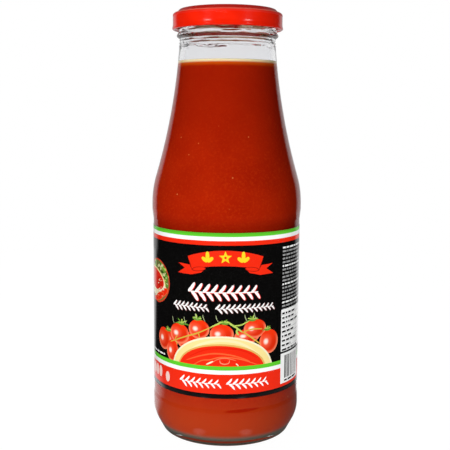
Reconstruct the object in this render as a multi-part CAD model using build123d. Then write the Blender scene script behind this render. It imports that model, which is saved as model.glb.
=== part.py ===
"""A passata bottle: a wide-mouthed glass bottle filled with tomato passata, closed by a
steel twist-off cap over a sealing ring, and dressed with a paper wrap-round label.

Frame: millimetres, +Z up. The origin is the middle of the foot, where the bottle stands.
The middle of the label's front faces -Y, and its glued overlap is at the back, on +Y.
Every round piece is a half section in the XZ plane, turned about Z.
"""
from build123d import *
from math import cos, degrees, radians, sin, tan
import os

# ---- glass body
body_radius = 38.72          # upper bumper ring, the widest part
lower_ring_inset = 0.32      # the lower bumper ring is this much smaller
panel_depth = 0.62           # the label's panel is sunk this much below the upper ring
lower_ring_bottom = 14.5     # height where the heel's rounding ends
lower_ring_height = 4.5      # upright face of the lower ring
lower_ring_slope = 2.0       # height over which it slopes into the panel
panel_height = 92.2
upper_ring_slope = 3.3       # height over which the panel slopes out to the upper ring
upper_ring_height = 3.8      # upright face of the upper ring
ring_round = 2.0             # rounding of the rings' edges

# ---- foot and heel
heel_inset = 5.46            # how far inside the lower ring the heel's slope meets the floor
heel_angle = 62.0            # slope of the heel, degrees from the floor
foot_round = 2.4             # rounding from the foot into the heel's slope
bearing_width = 2.2          # flat ring that the bottle stands on
punt_height = 3.6            # hollow under the bottle, in the middle
punt_lip = 1.6               # height of the slope from the bearing ring into the hollow
punt_lip_width = 2.4         # and its width

# ---- shoulder: a swelling arc, then a long hollow arc up to the neck
shoulder_round = 49.8        # radius of the swelling arc
shoulder_lean = 16.5         # where the two arcs meet, degrees from upright
neck_lean = 3.9              # where the hollow arc meets the neck
neck_radius = 24.35          # narrowest part of the neck
neck_height = 0.7            # upright stretch of it, under the bead

# ---- finish: the bead, the wall that the cap goes over, and its threads
bead_stand = 1.5             # how far the transfer bead stands out from the neck
bead_flat = 0.9              # upright face of the bead
bead_slope = 1.1             # height of its slope, below and above
bead_round = 0.65            # rounding of its edges
finish_stand = 0.7           # how far the wall under the cap stands out from the neck
finish_height = 10.6         # from the bead to the rim
rim_round = 1.0              # rounding of the rim, outside and inside
thread_count = 4
thread_stand = 1.1           # how far a thread stands out of the wall
thread_root = 1.8            # its height at the wall
thread_tip = 0.8             # its height at its outer edge
thread_bite = 0.6            # how deep it is rooted in the wall
thread_arc = 72.0            # how far one thread runs round, degrees
thread_slope = 3.2           # its climb, degrees

# ---- glass thickness
wall = 2.6
floor_edge = 3.6             # over the floor of the room, at the heel
floor_middle = 3.7           # over the hollow of the foot
floor_round = 14.0           # rounding of the raised middle of the inside floor
floor_corner_round = 5.0     # rounding between inside floor and heel

# ---- contents
headspace = 25.4             # from the rim down to where the passata meets the glass
meniscus_rise = 1.1          # how far it climbs at the wall
meniscus_width = 3.2         # over this width
fill_gap = 0.05              # clearance to the glass

# ---- cap
steel = 0.3                  # lacquered tinplate
skirt_play = 1.75            # between the threads and the inside of the skirt
cap_height = 10.1            # from the curl's lower edge to the top of the ring
cap_round = 1.3              # shoulder of the cap
curl_round = 0.8             # rolled lower edge, half its height
ring_inner_inset = 0.4       # the ring's flat top starts this far outside the bore
ring_outer_inset = 0.6       # and ends this far inside the outer wall of the finish
ring_slope = 1.7             # width of the ring's outer slope
ledge_drop = 1.65            # from the ring down to the ledge at the cap's shoulder
ledge_fall = 0.25            # slope of the ledge, over its width
panel_drop = 1.2             # from the ring down to the centre panel
panel_slope = 0.7            # width of the ring's inner slope
button_radius = 9.5          # safety button, pulled down by the vacuum
button_slope = 1.8           # width of the slope round it
button_drop = 0.5
press_round = 0.5            # rounding of the pressed steps
lug_reach = 1.05             # how far a lug stands in from the curl
lug_height = 1.5
lug_arc = 17.0               # its width, degrees
lug_play = 0.35              # between a lug and the thread over it

# ---- sealing ring, between the cap and the glass rim
seal_height = 0.5
seal_inset = 0.9             # inside the rim's two edges

# ---- label
label_foot = 5.73            # bare panel below the label
label_head = 4.07            # bare panel above it
paper = 0.12
glue = 0.05                  # between the glass and the paper
overlap_width = 8.0          # of the label's two ends, round the bottle

# ---- radii and heights that follow
lower_ring_radius = body_radius - lower_ring_inset
panel_radius = body_radius - panel_depth
heel_rise = tan(radians(heel_angle))
heel_foot = lower_ring_radius - heel_inset
heel_round = (lower_ring_bottom - heel_inset * heel_rise) / tan(radians(45 - heel_angle / 2))
panel_bottom = lower_ring_bottom + lower_ring_height + lower_ring_slope
panel_top = panel_bottom + panel_height
shoulder_bottom = panel_top + upper_ring_slope + upper_ring_height

lean = radians(shoulder_lean)
lean_end = radians(neck_lean)
swell_inset = shoulder_round * (1 - cos(lean))
hollow_round = (body_radius - neck_radius - swell_inset) / (cos(lean_end) - cos(lean))
bend_height = shoulder_bottom + shoulder_round * sin(lean)
neck_bottom = bend_height + hollow_round * (sin(lean) - sin(lean_end))

neck_top = neck_bottom + neck_height
bead_top = neck_top + bead_slope * 2 + bead_flat
bead_radius = neck_radius + bead_stand
finish_radius = neck_radius + finish_stand
bore = neck_radius - wall
rim_height = bead_top + finish_height
fill_level = rim_height - headspace

skirt_radius = finish_radius + thread_stand + skirt_play + steel
seal_top = rim_height + seal_height
cap_top = seal_top + steel
cap_bottom = cap_top - cap_height
lug_bottom = cap_bottom + steel
lug_top = lug_bottom + lug_height
thread_height = lug_top + lug_play + thread_root / 2


def turned(section, angle=360.0):
    """A solid from a half section in the XZ plane, as wide as angle, with its middle on +X."""
    return Rot(Z=-angle / 2) * revolve(Plane.XZ * section, Axis.Z, angle)


def ring(inside, outside, bottom, top):
    """Half section of a plain ring."""
    return make_face(Polyline((inside, bottom), (outside, bottom), (outside, top), (inside, top), close=True))


def shoulder(inset):
    """The shoulder's two arcs, moved in from the outside by inset, and their upper end."""
    start = (body_radius - inset, shoulder_bottom)
    bend = (body_radius - swell_inset - inset * cos(lean), bend_height - inset * sin(lean))
    end = (neck_radius - inset * cos(lean_end), neck_bottom - inset * sin(lean_end))
    swell = TangentArc(start, bend, tangent=(0, 1))
    hollow = TangentArc(bend, end, tangent=(-sin(lean), cos(lean)))
    return [swell, hollow], end


def outside_section():
    """Half section of the whole bottle, as if it had no hollow."""
    bearing_inside = heel_foot - foot_round * tan(radians(heel_angle / 2)) - bearing_width
    body = FilletPolyline(
        (bearing_inside, 0),
        (heel_foot, 0),
        (lower_ring_radius, heel_inset * heel_rise),
        (lower_ring_radius, panel_bottom - lower_ring_slope),
        (panel_radius, panel_bottom),
        (panel_radius, panel_top),
        (body_radius, panel_top + upper_ring_slope),
        (body_radius, shoulder_bottom),
        radius=[foot_round, heel_round] + [ring_round] * 4,
    )
    arcs, neck_start = shoulder(0)
    finish = FilletPolyline(
        neck_start,
        (neck_radius, neck_top),
        (bead_radius, neck_top + bead_slope),
        (bead_radius, bead_top - bead_slope),
        (finish_radius, bead_top),
        (finish_radius, rim_height),
        (0, rim_height),
        radius=[bead_round] * 4 + [rim_round],
    )
    lip = (bearing_inside - punt_lip_width, punt_lip)
    centre = Line((0, rim_height), (0, punt_height))
    punt = TangentArc((0, punt_height), lip, tangent=(1, 0))
    edges = [*body.edges(), *arcs, *finish.edges(), centre, punt, Line(lip, (bearing_inside, 0))]
    return make_face(edges)


def inside_section(inset):
    """Half section of the bottle's hollow, made smaller all round by inset."""
    thick = wall + inset
    floor = floor_edge + inset
    middle = punt_height + floor_middle + inset
    slant = heel_foot - thick / sin(radians(heel_angle))
    corner = slant + floor / heel_rise
    side = panel_radius - thick
    hollow = FilletPolyline(
        (0, middle),
        (corner * 0.45, middle),
        (corner * 0.8, floor),
        (corner, floor),
        (side, (side - slant) * heel_rise),
        (side, panel_top),
        (body_radius - thick, panel_top + upper_ring_slope),
        (body_radius - thick, shoulder_bottom),
        radius=[floor_round, floor_round, floor_corner_round, heel_round - thick, ring_round, ring_round],
    )
    arcs, neck_start = shoulder(thick)
    side_up = bore - inset
    mouth = Polyline(neck_start, (side_up, neck_top), (side_up, rim_height), (0, rim_height), (0, middle))
    return make_face([*hollow.edges(), *arcs, *mouth.edges()])


def rim_edge():
    """Half section of the sharp inner edge of the rim, which is rounded away."""
    round_start = (bore, rim_height - rim_round)
    round_end = (bore + rim_round, rim_height)
    return make_face(
        [
            TangentArc(round_start, round_end, tangent=(0, 1)),
            *Polyline(round_end, (bore, rim_height), round_start).edges(),
        ]
    )


def make_bottle():
    bottle = turned(outside_section() - inside_section(0) - rim_edge())
    root = finish_radius - thread_bite
    tip = finish_radius + thread_stand
    section = Polyline(
        (root, -thread_root / 2),
        (tip, -thread_tip / 2),
        (tip, thread_tip / 2),
        (root, thread_root / 2),
        close=True,
    )
    thread = Pos(Z=thread_height) * Rot(X=thread_slope) * turned(make_face(section), thread_arc)
    for index in range(thread_count):
        bottle += Rot(Z=360 / thread_count * index) * thread
    return bottle


def make_passata():
    trough = fill_level - meniscus_rise
    reach = body_radius
    surface = FilletPolyline(
        (0, trough),
        (bore - meniscus_width * 0.4, trough),
        (bore + meniscus_width * 0.6, fill_level + meniscus_rise * 0.5),
        radius=[meniscus_width],
    )
    side = Polyline(surface @ 1, (reach, fill_level + meniscus_rise * 0.5), (reach, 0), (0, 0), (0, trough))
    below = make_face([*surface.edges(), *side.edges()])
    return turned(inside_section(fill_gap) & below)


def cap_section():
    """Half section of the pressed steel shell, without its curl."""
    ring_inside = bore + ring_inner_inset
    ring_outside = finish_radius - ring_outer_inset
    ledge = cap_top - ledge_drop
    panel = cap_top - panel_drop
    outside = FilletPolyline(
        (0, panel - button_drop),
        (button_radius, panel - button_drop),
        (button_radius + button_slope, panel),
        (ring_inside - panel_slope, panel),
        (ring_inside, cap_top),
        (ring_outside, cap_top),
        (ring_outside + ring_slope, ledge),
        (skirt_radius, ledge - ledge_fall),
        (skirt_radius, cap_bottom + curl_round),
        radius=[press_round] * 6 + [cap_round],
    )
    return make_face(offset(outside, steel, side=Side.RIGHT).edges())


def make_cap():
    curl_middle = skirt_radius - curl_round
    curl = Circle(curl_round) - Circle(curl_round - steel)
    curl = Pos(curl_middle, cap_bottom + curl_round) * curl
    cap = turned(cap_section() + curl)
    lug_root = curl_middle - curl_round + steel
    lug_width = lug_reach + steel
    lug_section = Pos(lug_root - lug_width / 2, lug_bottom + lug_height / 2)
    lug_section *= RectangleRounded(lug_width, lug_height, steel)
    lug = turned(lug_section, lug_arc)
    for index in range(thread_count):
        cap += Rot(Z=360 / thread_count * index) * lug
    return cap


def make_seal():
    return turned(ring(bore + seal_inset, finish_radius - seal_inset, rim_height, seal_top))


def make_label():
    """A paper tube with its far end lapped over its near end, at the back."""
    bottom = panel_bottom + label_foot
    top = panel_top - label_head
    inside = panel_radius + glue
    tube = turned(ring(inside, inside + paper, bottom, top))
    lap_angle = degrees(overlap_width / (inside + paper))
    lap = turned(ring(inside + paper, inside + paper * 2, bottom, top), lap_angle)
    return tube + Rot(Z=90) * lap


os.makedirs("parts", exist_ok=True)
nodes = {
    "glass_bottle": make_bottle(),
    "passata": make_passata(),
    "twist_off_cap": make_cap(),
    "cap_seal": make_seal(),
    "paper_label": make_label(),
}
for name, shape in nodes.items():
    shape.label = name
    export_step(shape, f"parts/{name}.step")
    print(f"{name}: {shape.volume / 1000:.2f} ml, top {shape.bounding_box().max.Z:.2f}")
print(f"rim {rim_height:.2f}, passata {fill_level:.2f}, cap {cap_bottom:.2f} to {cap_top:.2f}")
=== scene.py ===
# %% [markdown]
# # A bottle of tomato passata
# The bottle stands closed on a pale floor. Its parts come packed from CAD as a fixed frame:
# a glass bottle, the passata in it, a steel twist-off cap, the cap's sealing ring and a paper
# label. This notebook gives each of them its real surface, and keeps every size of the frame.

# %% Load the frame
import math
import random

import bmesh
import bpy
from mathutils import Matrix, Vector
from mathutils.geometry import delaunay_2d_cdt


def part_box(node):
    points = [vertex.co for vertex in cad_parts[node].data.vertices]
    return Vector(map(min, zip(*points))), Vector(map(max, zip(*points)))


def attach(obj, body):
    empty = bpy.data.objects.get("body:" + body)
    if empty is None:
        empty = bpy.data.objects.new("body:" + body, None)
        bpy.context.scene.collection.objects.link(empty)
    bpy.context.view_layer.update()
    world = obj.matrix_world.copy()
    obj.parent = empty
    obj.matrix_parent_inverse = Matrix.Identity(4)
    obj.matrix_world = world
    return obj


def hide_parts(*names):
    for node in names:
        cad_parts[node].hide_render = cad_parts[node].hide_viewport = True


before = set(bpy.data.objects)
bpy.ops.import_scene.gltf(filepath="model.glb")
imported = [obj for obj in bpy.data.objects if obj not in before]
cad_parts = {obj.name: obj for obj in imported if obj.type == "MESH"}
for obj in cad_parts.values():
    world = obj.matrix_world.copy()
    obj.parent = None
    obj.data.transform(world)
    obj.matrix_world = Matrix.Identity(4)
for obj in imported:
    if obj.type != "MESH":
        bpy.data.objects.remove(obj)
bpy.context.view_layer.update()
mm = 0.001
print("nodes", sorted(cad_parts))

# %% [markdown]
# ## Formulas instead of piles of nodes
# Geometry Nodes and materials are both made of nodes, and long formulas in them are hard to
# read. Here one small class wraps a socket. A sum or a product on it adds a Math node, so the
# script can say `1 - mask * 0.5`. Every other kind of node comes from one method, `node`, and
# the kinds that come back most often have a short method each.


# %% A wire carries one socket
def pick(sockets, key):
    """A socket by its place, its identifier or its name."""
    if isinstance(key, int):
        return sockets[key]
    for socket in sockets:
        if socket.identifier == key:
            return socket
    return sockets[key]


class Wire:
    """One output socket, or a whole tree when it has no socket yet."""

    def __init__(self, tree, socket=None):
        self.tree = tree
        self.socket = socket

    def __getitem__(self, key):
        return Wire(self.tree, pick(self.socket.node.outputs, key))

    def node(self, kind, sockets=None, settings=None, out=0):
        """A new node in this wire's tree, with wires and values on its sockets."""
        made = self.tree.nodes.new(kind)
        for name, value in (settings or {}).items():
            setattr(made, name, value)
        for key, value in (sockets or {}).items():
            socket = pick(made.inputs, key)
            if isinstance(value, Wire):
                self.tree.links.new(value.socket, socket)
            else:
                socket.default_value = value
        return Wire(self.tree, pick(made.outputs, out)) if made.outputs else made

    def math(self, operation, *values):
        sockets = dict(enumerate((self, *values)))
        return self.node("ShaderNodeMath", sockets, {"operation": operation})

    def __add__(self, other):
        return self.math("ADD", other)

    def __sub__(self, other):
        return self.math("SUBTRACT", other)

    def __mul__(self, other):
        return self.math("MULTIPLY", other)

    def __truediv__(self, other):
        return self.math("DIVIDE", other)

    def __rsub__(self, other):
        return self.node("ShaderNodeMath", {0: other, 1: self}, {"operation": "SUBTRACT"})

    __radd__ = __add__
    __rmul__ = __mul__

    def step(self, low, high):
        """0 below low and 1 above high, with a smooth climb between; low may be the larger."""
        sockets = {"Value": self, "From Min": low, "From Max": high}
        return self.node("ShaderNodeMapRange", sockets, {"interpolation_type": "SMOOTHSTEP"})

    def band(self, low, full, fading, high):
        """0 up to low, 1 from full to fading, and 0 again from high on."""
        return self.step(low, full) * self.step(high, fading)

    def mix(self, first, second):
        """first where this wire is 0, second where it is 1; both are colours."""
        colours = {"Factor_Float": self, "A_Color": first, "B_Color": second}
        return self.node("ShaderNodeMix", colours, {"data_type": "RGBA"}, "Result_Color")

    def choose(self, first, second):
        """The same between two shaders."""
        return self.node("ShaderNodeMixShader", {0: self, 1: first, 2: second})

    def split(self):
        """A vector's X, Y and Z."""
        return self.node("ShaderNodeSeparateXYZ", {0: self})

    def join(self, x, y, z):
        return self.node("ShaderNodeCombineXYZ", {0: x, 1: y, 2: z})

    def noise(self, scale, detail):
        """Noise over this place, from 0 to 1, with about scale lumps in a metre."""
        return self.node("ShaderNodeTexNoise", {"Vector": self, "Scale": scale, "Detail": detail})

    def bump(self, strength, distance):
        """The normal of a surface that has this wire as its height."""
        sockets = {"Height": self, "Strength": strength, "Distance": distance}
        return self.node("ShaderNodeBump", sockets)


def length(x, y):
    """How far a point is from the middle."""
    return (x * x + y * y).math("SQRT")


print("a wire can", [name for name in vars(Wire) if not name.startswith("__")])

# %% [markdown]
# ## Growing a mesh with Geometry Nodes
# A tree is built once, with named inputs for its sizes. `grow` puts it on an object, sets the
# inputs, takes the result as a plain mesh and removes the modifier, so that what is left is an
# ordinary closed mesh whose faces point outwards.


# %% Trees and what they grow
weld = 0.0005 * mm


def new_tree(name, inputs):
    """A Geometry Nodes tree with named inputs: its start wire and its group input."""
    tree = bpy.data.node_groups.new(name, "GeometryNodeTree")
    tree.interface.new_socket("Geometry", in_out="INPUT", socket_type="NodeSocketGeometry")
    for label, kind in inputs.items():
        tree.interface.new_socket(label, in_out="INPUT", socket_type="NodeSocket" + kind)
    tree.interface.new_socket("Geometry", in_out="OUTPUT", socket_type="NodeSocketGeometry")
    start = Wire(tree)
    return start, start.node("NodeGroupInput")


def close_tree(start, geometry, material):
    """Ends a tree: nothing stays an instance, and the mesh gets its material."""
    real = start.node("GeometryNodeRealizeInstances", {"Geometry": geometry})
    done = start.node("GeometryNodeSetMaterial", {"Geometry": real, "Material": material})
    start.node("NodeGroupOutput", {0: done})
    return start.tree


def tidy(mesh):
    """Merges doubles, turns every face outwards and counts the edges left open."""
    shape = bmesh.new()
    shape.from_mesh(mesh)
    bmesh.ops.remove_doubles(shape, verts=shape.verts, dist=weld)
    bmesh.ops.dissolve_degenerate(shape, edges=shape.edges, dist=weld)
    bmesh.ops.recalc_face_normals(shape, faces=shape.faces)
    open_edges = sum(1 for edge in shape.edges if len(edge.link_faces) != 2)
    shape.to_mesh(mesh)
    shape.free()
    return open_edges


def add_object(name, data):
    made = bpy.data.objects.new(name, data)
    bpy.context.scene.collection.objects.link(made)
    return made


def mesh_from(name, shape):
    """A new mesh with what was modelled in shape, which is freed."""
    mesh = bpy.data.meshes.new(name)
    shape.to_mesh(mesh)
    shape.free()
    return mesh


def new_piece(name, verts, edges, faces):
    mesh = bpy.data.meshes.new(name)
    mesh.from_pydata(verts, edges, faces)
    return add_object(name, mesh)


def grow(piece, tree, sizes):
    """Runs a tree on a piece and keeps the result as its mesh."""
    modifier = piece.modifiers.new(tree.name, "NODES")
    modifier.node_group = tree
    for item in tree.interface.items_tree:
        if item.in_out == "INPUT" and item.name in sizes:
            modifier[item.identifier] = sizes[item.name]
    bpy.context.view_layer.update()
    seen = piece.evaluated_get(bpy.context.evaluated_depsgraph_get())
    grown = bpy.data.meshes.new_from_object(seen)
    piece.modifiers.remove(modifier)
    piece.data = grown
    open_edges = tidy(grown)
    triangles = sum(len(face.vertices) - 2 for face in grown.polygons)
    print(f"{piece.name}: {triangles} triangles, {open_edges} open edges")
    return piece


print(f"points closer than {weld / mm} mm become one")

# %% [markdown]
# ## The lathe
# Bottle, passata and cap are round, so each is a half outline turned about the axis. The
# outline is a chain of points; the tree lays a grid over it, one column for each step round,
# and bends the grid into a circle. Spin in mesh code would do the same, but here the steps
# stay one named input, and the later trees can follow it.


# %% Build the lathe
def lathe_tree():
    start, given = new_tree("lathe", {"Steps": "Int", "Material": "Material"})
    rows = start.node("GeometryNodeAttributeDomainSize", {"Geometry": given})
    columns = given["Steps"] + 1
    sizes = {"Size X": 1.0, "Size Y": 1.0, "Vertices X": columns, "Vertices Y": rows}
    grid = start.node("GeometryNodeMeshGrid", sizes)
    place = start.node("GeometryNodeInputPosition")
    across = place.split()
    row = ((across["Y"] + 0.5) * (rows - 1)).math("ROUND")
    on_outline = {"Geometry": given, "Value": place, "Index": row}
    vectors = {"data_type": "FLOAT_VECTOR"}
    outline = start.node("GeometryNodeSampleIndex", on_outline, vectors).split()
    # The grid runs from -0.5 to 0.5, so 0.75 more puts its first and last column at the back.
    angle = (across["X"] + 0.75) * (2 * math.pi)
    radius = outline["X"]
    turned = start.join(radius * angle.math("COSINE"), radius * angle.math("SINE"), outline["Z"])
    bent = start.node("GeometryNodeSetPosition", {"Geometry": grid, "Position": turned})
    joined = start.node("GeometryNodeMergeByDistance", {"Geometry": bent, "Distance": weld})
    smooth = start.node("GeometryNodeSetShadeSmooth", {"Geometry": joined})
    return close_tree(start, smooth, given["Material"])


lathe = lathe_tree()


def turn(name, outline, steps, material):
    """A round piece from an outline of (radius, height) points."""
    verts = [(radius, 0, height) for radius, height in outline]
    piece = new_piece(name, verts, [(i, i + 1) for i in range(len(verts) - 1)], [])
    return grow(piece, lathe, {"Steps": steps, "Material": material})


def rounded(corners, turn_step=7.0):
    """A chain of points through corners (radius, height, rounding in mm).

    turn_step is the most that an arc may turn from one point to the next, in degrees.
    """
    nearly_straight = math.radians(89.5)
    chain = [corners[0][:2]]
    for before, here, after in zip(corners, corners[1:], corners[2:]):
        corner = Vector(here[:2])
        back = (Vector(before[:2]) - corner).normalized()
        ahead = (Vector(after[:2]) - corner).normalized()
        half = back.angle(ahead) / 2
        if here[2] == 0 or half > nearly_straight:
            chain.append(tuple(corner))
            continue
        reach = here[2] * mm / math.tan(half)
        middle = corner + (back + ahead).normalized() * (here[2] * mm / math.sin(half))
        first = corner + back * reach - middle
        swept = math.pi - 2 * half
        side = 1 if first.cross(corner + ahead * reach - middle) > 0 else -1
        steps = max(2, math.ceil(math.degrees(swept) / turn_step))
        for step in range(steps + 1):
            angle = side * swept * step / steps
            cos, sin = math.cos(angle), math.sin(angle)
            turned = Vector((first.x * cos - first.y * sin, first.x * sin + first.y * cos))
            chain.append(tuple(middle + turned))
    chain.append(corners[-1][:2])
    return chain


def parallel(chain, distance):
    """The chain moved to its right by distance."""
    moved = []
    for i, point in enumerate(chain):
        run = Vector(chain[min(i + 1, len(chain) - 1)]) - Vector(chain[max(i - 1, 0)])
        run.normalize()
        moved.append((point[0] + run.y * distance, point[1] - run.x * distance))
    return moved


def on_circle(middle, radius, angle):
    return (middle[0] + radius * math.cos(angle), middle[1] + radius * math.sin(angle))


def dense(first, last, step):
    """Points from first to last, at most step apart, for a stretch that is shaped later."""
    gap = Vector(last) - Vector(first)
    count = math.ceil(gap.length / step)
    return [tuple(Vector(first) + gap * i / count) for i in range(count + 1)]


print("lathe inputs:", [item.name for item in lathe.interface.items_tree])

# %% [markdown]
# ## The glass bottle
# A jar like this is blown in a mould: a hollow foot, a sloping heel, two bumper rings that keep
# the label from rubbing, long hollow shoulders, and a thick mouth with a bead and four threads.
# The heights and the widest radii are read from the frame; the few sizes below complete the
# outline. Outside and inside are one closed chain, so the wall has its true thickness, which is
# what makes glass bend light as it should.

# %% Sizes of the glass
glass_low, glass_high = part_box("glass_bottle")
label_low, label_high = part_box("paper_label")
_, sauce_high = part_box("passata")
cap_low, cap_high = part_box("twist_off_cap")
rim = glass_high.z
body_radius = (glass_high.x - glass_low.x) / 2
label_stand = 0.17 * mm
panel_radius = (label_high.x - label_low.x) / 2 - label_stand
lower_ring = body_radius - 0.32 * mm
panel_bottom = label_low.z - 5.73 * mm
panel_top = label_high.z + 4.07 * mm
ring_foot, ring_top = panel_top - 0.8 * mm, panel_top + 4.2 * mm
shoulder_bottom = panel_top + 7.1 * mm
wall = 2.6 * mm
heel_angle = math.radians(62)
heel_slope = math.tan(heel_angle)
heel_run = 5.46 * mm
heel_foot = lower_ring - heel_run
bearing_edge = heel_foot - 3.64 * mm
neck_radius = 24.35 * mm
bore = neck_radius - wall
finish_radius = neck_radius + 0.7 * mm
swell_round = 49.8 * mm
lean, lean_end = math.radians(16.5), math.radians(3.9)
swell_inset = swell_round * (1 - math.cos(lean))
hollow_round = (body_radius - neck_radius - swell_inset) / (math.cos(lean_end) - math.cos(lean))
bend = (body_radius - swell_inset, shoulder_bottom + swell_round * math.sin(lean))
neck_bottom = bend[1] + hollow_round * (math.sin(lean) - math.sin(lean_end))
print(f"shoulder {shoulder_bottom / mm:.1f} to {neck_bottom / mm:.1f} mm, rim {rim / mm:.1f} mm")


# %% Outline of the glass
def shoulder(inset):
    """The swelling arc and the hollow arc of the shoulder, moved in by inset."""
    near = (body_radius - swell_round, shoulder_bottom)
    chain = [on_circle(near, swell_round - inset, lean * i / 6) for i in range(7)]
    # The hollow arc has 18 steps, and its last two are cut in eight for the rings in the relief.
    far = on_circle(bend, hollow_round, lean)
    for step in [*range(1, 17), *(16 + i / 8 for i in range(1, 17))]:
        angle = lean + (lean_end - lean) * step / 18
        chain.append(on_circle(far, -(hollow_round + inset), angle))
    return chain


def glass_outside():
    neck_top = neck_bottom + 0.7 * mm
    bead = neck_radius + 1.5 * mm
    lip_radius = bearing_edge - 2.4 * mm
    hollow, fall = 3.6 * mm, 2.0 * mm
    heel_start = (heel_foot - 1.5 * mm, 0, 0)
    punt = [(lip_radius * i / 8, hollow - fall * (i / 8) ** 2) for i in range(9)]
    foot = punt + rounded([(*punt[-1], 0), (bearing_edge, 0, 0.5), heel_start])[1:]
    foot[-2:] = dense(foot[-2], foot[-1], 0.3 * mm)
    body = rounded([
        heel_start,
        (heel_foot, 0, 2.4),
        (lower_ring, heel_run * heel_slope, 16.5),
        (lower_ring, panel_bottom - 2 * mm, 2),
        (panel_radius, panel_bottom, 2),
        (panel_radius, ring_foot, 8),
        (body_radius, ring_top, 8),
        (body_radius, shoulder_bottom, 0),
    ], 2.0)
    mouth = rounded([
        (neck_radius, neck_bottom, 0),
        (neck_radius, neck_top, 0.65),
        (bead, neck_top + 1.1 * mm, 0.65),
        (bead, neck_top + 2.0 * mm, 0.65),
        (finish_radius, neck_top + 3.1 * mm, 0.65),
        (finish_radius, neck_top + 4.3 * mm, 0),
    ], 10)
    threads = dense(mouth[-1], (finish_radius, mouth[-1][1] + 5.0 * mm), 0.25 * mm)
    lip = rounded([
        (*threads[-1], 0), (finish_radius, rim, 1), (bore, rim, 1), (bore, rim - 2 * mm, 0)
    ], 12)
    bore_wall = dense(lip[-1], (bore, neck_bottom + 0.4 * mm), 0.5 * mm)
    return foot + body[1:] + shoulder(0)[1:] + mouth[1:] + threads[1:] + lip[1:] + bore_wall[1:]


def glass_inside(inset):
    """The inside of the glass from the mouth's neck down to the middle of the floor."""
    thick = wall + inset
    slant = heel_foot - thick / math.sin(heel_angle)
    floor, middle = 3.6 * mm + inset, 7.3 * mm + inset
    corner = slant + floor / heel_slope
    side = panel_radius - thick
    down = rounded([
        (0, middle, 0),
        (corner * 0.45, middle, 14),
        (corner * 0.8, floor, 14),
        (corner, floor, 5),
        (side, (side - slant) * heel_slope, 13.9),
        (side, ring_foot, 8),
        (body_radius - thick, ring_top, 8),
        (body_radius - thick, shoulder_bottom, 0),
    ])
    return (down + shoulder(thick)[1:])[::-1]


glass_outline = glass_outside() + glass_inside(0)
print(len(glass_outline), "points from the middle of the foot round to the middle of the floor")

# %% [markdown]
# ## Threads, bearing marks and uneven glass
# The threads could be four separate ridges joined on with booleans, but in glass every hidden
# inner face bends light and shows. So one tree moves the turned surface itself: out along four
# climbing ridges, up between the short bars that a bottle stands on, and a little in and out
# where blown glass is uneven inside the empty neck and finely ringed under its bead.


# %% Build the relief tree
def relief_tree():
    sizes = {"Threads": "Int", "Bars": "Int", "Material": "Material"}
    for name in ("Thread height", "Thread stand", "Thread climb", "Bar depth", "Unevenness"):
        sizes[name] = "Float"
    start, given = new_tree("relief", sizes)
    place = start.node("GeometryNodeInputPosition")
    axes = place.split()
    x, y, z = axes["X"], axes["Y"], axes["Z"]
    radius = length(x, y).math("MAXIMUM", 0.001 * mm)
    angle = y.math("ARCTAN2", x)

    phase = (angle / (2 * math.pi) * given["Threads"]).math("FRACT") - 0.5
    off = (z - given["Thread height"] - given["Thread climb"] * phase).math("ABSOLUTE")
    ends = phase.math("ABSOLUTE").step(0.4, 0.33)
    on_wall = radius.step(finish_radius - 0.3 * mm, finish_radius - 0.1 * mm)
    under_rim = z.step(rim - 11 * mm, rim - 9.5 * mm)
    thread = off.step(0.95 * mm, 0.35 * mm) * ends * on_wall * under_rim

    # Slow lumps on the bore, and flat folds on the part of it that the passata leaves bare.
    level = sauce_high.z
    lumps = place.noise(70.0, 1.0)
    folds = start.join(x, y, z * 4.5).noise(90.0, 2.0)
    on_bore = radius.step(bore + 1.4 * mm, bore + 0.9 * mm) * z.step(level - 12 * mm, level)
    under_lip = z.step(rim - 1 * mm, rim - 4 * mm)
    bare = z.band(level + 5.0 * mm, level + 7.5 * mm, rim - 9 * mm, rim - 4 * mm)
    uneven = (lumps - 0.5) * 0.4 + (folds - 0.5) * bare * 2.8
    uneven = uneven * given["Unevenness"] * on_bore * under_lip

    # Fine rings on the outside, just under the bead.
    ring_pitch, ring_height = 1.5, 0.22
    low, high = neck_bottom - 3.8 * mm, neck_bottom + 0.8 * mm
    under_bead = z.band(low, neck_bottom - 3.0 * mm, neck_bottom, high)
    on_neck = radius.step(bore + 1.4 * mm, bore + 2.2 * mm)
    rings = (z * (2 * math.pi / (ring_pitch * mm))).math("SINE") * under_bead * on_neck
    outwards = thread * given["Thread stand"] + (uneven + rings * ring_height * mm)

    bars = (angle * given["Bars"]).math("COSINE").step(-0.4, 0.4)
    edges = [bearing_edge + reach * mm for reach in (0.1, 0.4, 1.7, 2.1)]
    on_ring = radius.band(*edges) * z.step(0.4 * mm, 0.05 * mm)
    lift = (1 - bars) * on_ring * given["Bar depth"]
    shift = start.join(x / radius * outwards, y / radius * outwards, lift)
    moved = start.node("GeometryNodeSetPosition", {"Geometry": given, "Offset": shift})
    return close_tree(start, moved, given["Material"])


relief = relief_tree()
print("relief inputs:", [item.name for item in relief.interface.items_tree])

# %% [markdown]
# ## Clear glass
# White bottle glass has a faint grey-green cast. Its surface is nearly perfect, with slow waves
# from the mould and a fine parting line down each side. Lamps would only reach the passata by
# long, noisy light paths through real glass, so a shadow ray, or a ray that has left a dull
# surface, goes straight through; the eye and every mirror image still see solid glass.


# %% Glass material
def new_material(name):
    material = bpy.data.materials.new(name)
    material.use_nodes = True
    material.node_tree.nodes.clear()
    start = Wire(material.node_tree)
    return material, start, start.node("ShaderNodeTexCoord", out="Object")


def finish(material, start, surface):
    start.node("ShaderNodeOutputMaterial", {"Surface": surface})
    print(f"{material.name}: {len(start.tree.nodes)} nodes")
    return material


def principled(start, sockets):
    return start.node("ShaderNodeBsdfPrincipled", sockets)


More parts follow.
